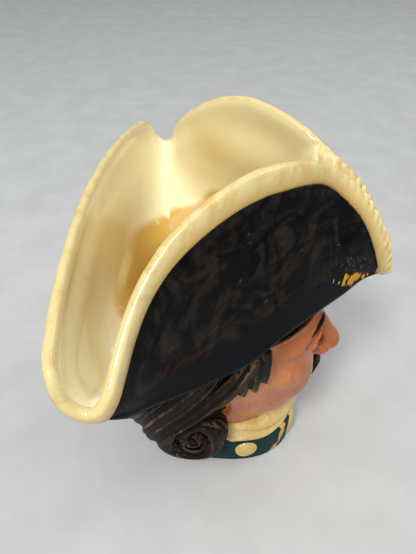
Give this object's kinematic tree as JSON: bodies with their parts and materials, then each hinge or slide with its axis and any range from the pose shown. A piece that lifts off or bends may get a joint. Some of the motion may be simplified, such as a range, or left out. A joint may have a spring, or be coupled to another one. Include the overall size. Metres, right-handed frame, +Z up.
{
  "type": "figural jug",
  "caption": "Glazed earthenware jug shaped as a gentleman's head in a cocked hat, whose turned-up brim is the mouth, with a loop handle.",
  "frame": {"origin": "middle of the flat foot, on the surface the jug stands on", "axes": "+Z up out of the mouth, -Y the way the face looks, +X the figure's left, where the handle is"},
  "size_m": [0.1644, 0.1212, 0.171],
  "materials": {
    "glazed_earthenware": "gloss clear glaze over hand painting: cream inside and braid, black hat, terracotta skin, dark hair, gold cravat, dark teal collar"
  },
  "bodies": {
    "root": {"character_jug": "glazed_earthenware"}
  },
  "joints": []
}
